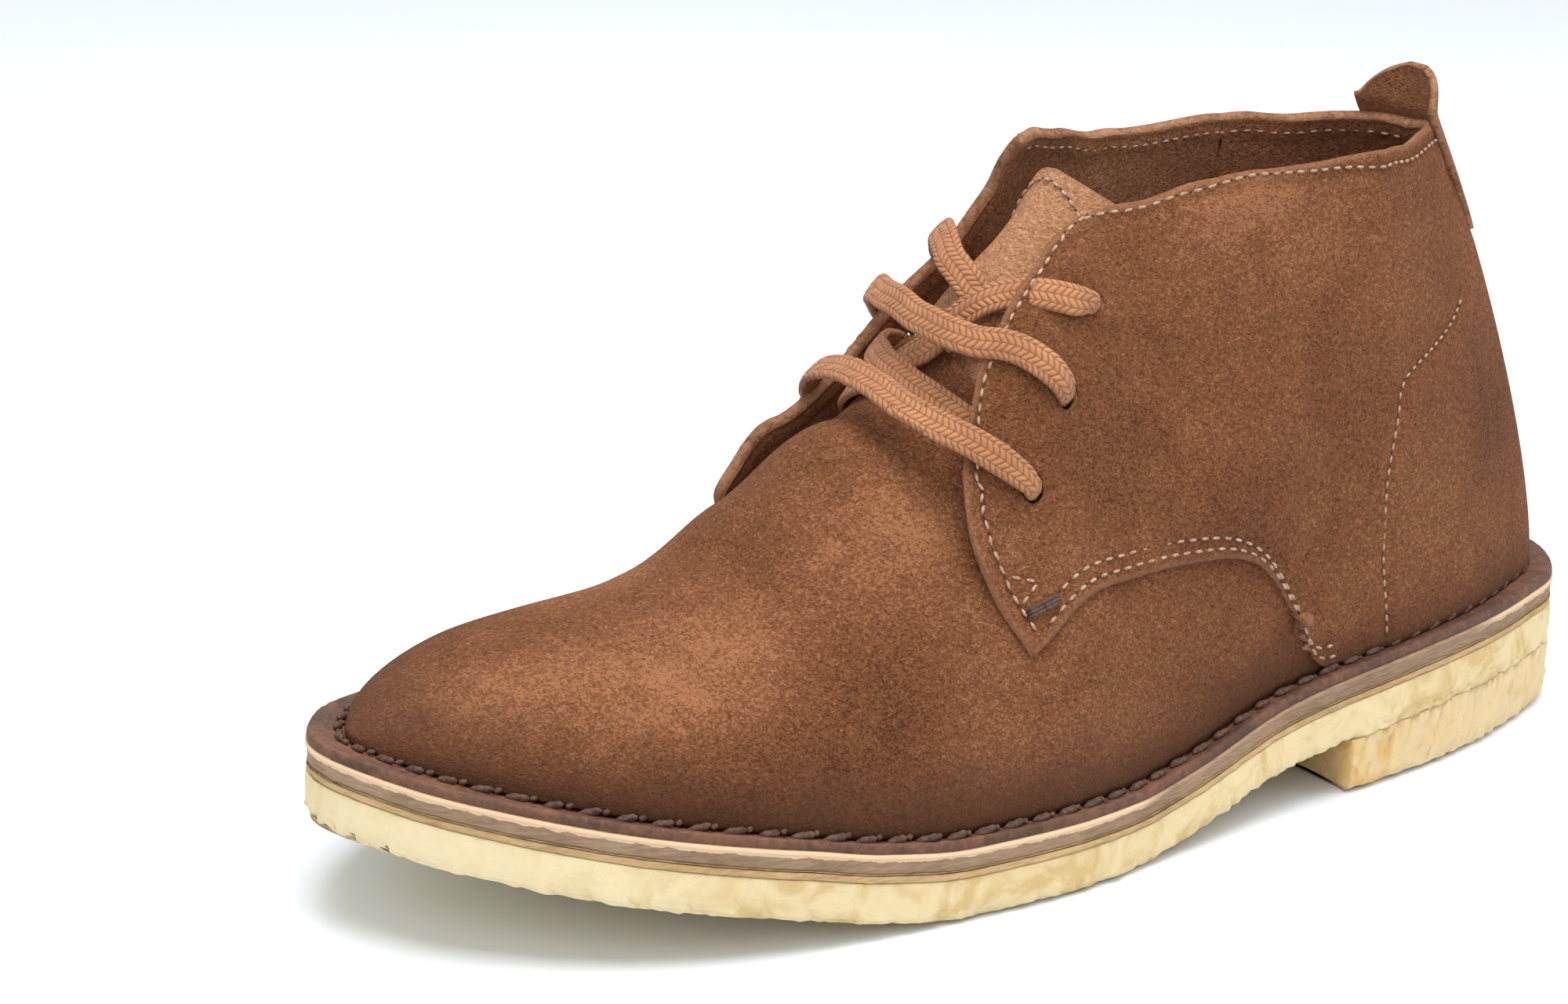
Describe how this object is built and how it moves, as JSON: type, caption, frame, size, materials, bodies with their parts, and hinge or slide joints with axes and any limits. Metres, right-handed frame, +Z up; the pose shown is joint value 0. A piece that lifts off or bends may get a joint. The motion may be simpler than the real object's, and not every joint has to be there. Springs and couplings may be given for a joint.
{
  "type": "desert boot",
  "caption": "Ankle-high left suede boot with open-lace facings, pull tab, stitched welt, leather-fibre midsole and crepe sole with a low heel.",
  "frame": {"origin": "on the ground, in the middle of the sole's length and width", "axes": "+X to the toe, +Y to the outer side of the left foot, +Z up"},
  "size_m": [0.295, 0.1034, 0.1383],
  "materials": {
    "crepe": "matt crepe rubber with a crumbly edge",
    "crepe_heel": "matt crepe rubber",
    "binder": "matt ochre layer",
    "midsole": "cut edge of leather fibre board",
    "welt": "dark, satin",
    "insole": "smooth, matt",
    "suede": "napped suede",
    "tongue_suede": "napped suede, lighter",
    "tab_suede": "napped suede",
    "lace": "flat braided cotton"
  },
  "bodies": {
    "root": {"outsole": "crepe", "heel": "crepe_heel", "binder": "binder", "midsole": "midsole", "welt": "welt", "insole": "insole", "upper": "suede", "tongue": "tongue_suede", "pull_tab": "tab_suede", "lace_lower_bar": "lace", "lace_middle_bar": "lace", "lace_crossing": "lace"}
  },
  "joints": []
}
